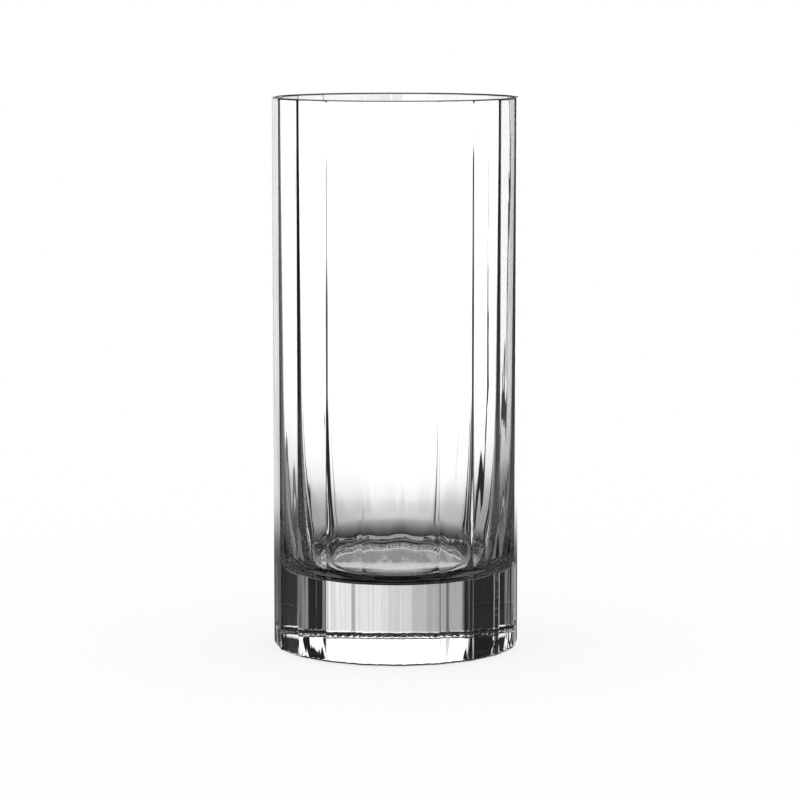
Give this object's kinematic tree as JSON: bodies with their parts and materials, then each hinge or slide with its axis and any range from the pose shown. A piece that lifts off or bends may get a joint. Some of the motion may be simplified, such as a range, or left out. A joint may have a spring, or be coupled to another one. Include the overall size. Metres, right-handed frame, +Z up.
{
  "type": "highball glass",
  "caption": "Tall straight clear drinking glass with flat panels round the outside, inner panels that fade below the rim and a heavy solid base.",
  "frame": {"origin": "middle of the foot, on the surface that the glass stands on", "axes": "+Z up along the axis of the glass, -Y towards the front of the pictured view, +X to its right"},
  "size_m": [0.07, 0.07, 0.1565],
  "materials": {
    "clear_glass": "clear pressed glass, fire polished, with a pressed notch pattern on the standing ring"
  },
  "bodies": {
    "root": {"tumbler": "clear_glass"}
  },
  "joints": []
}
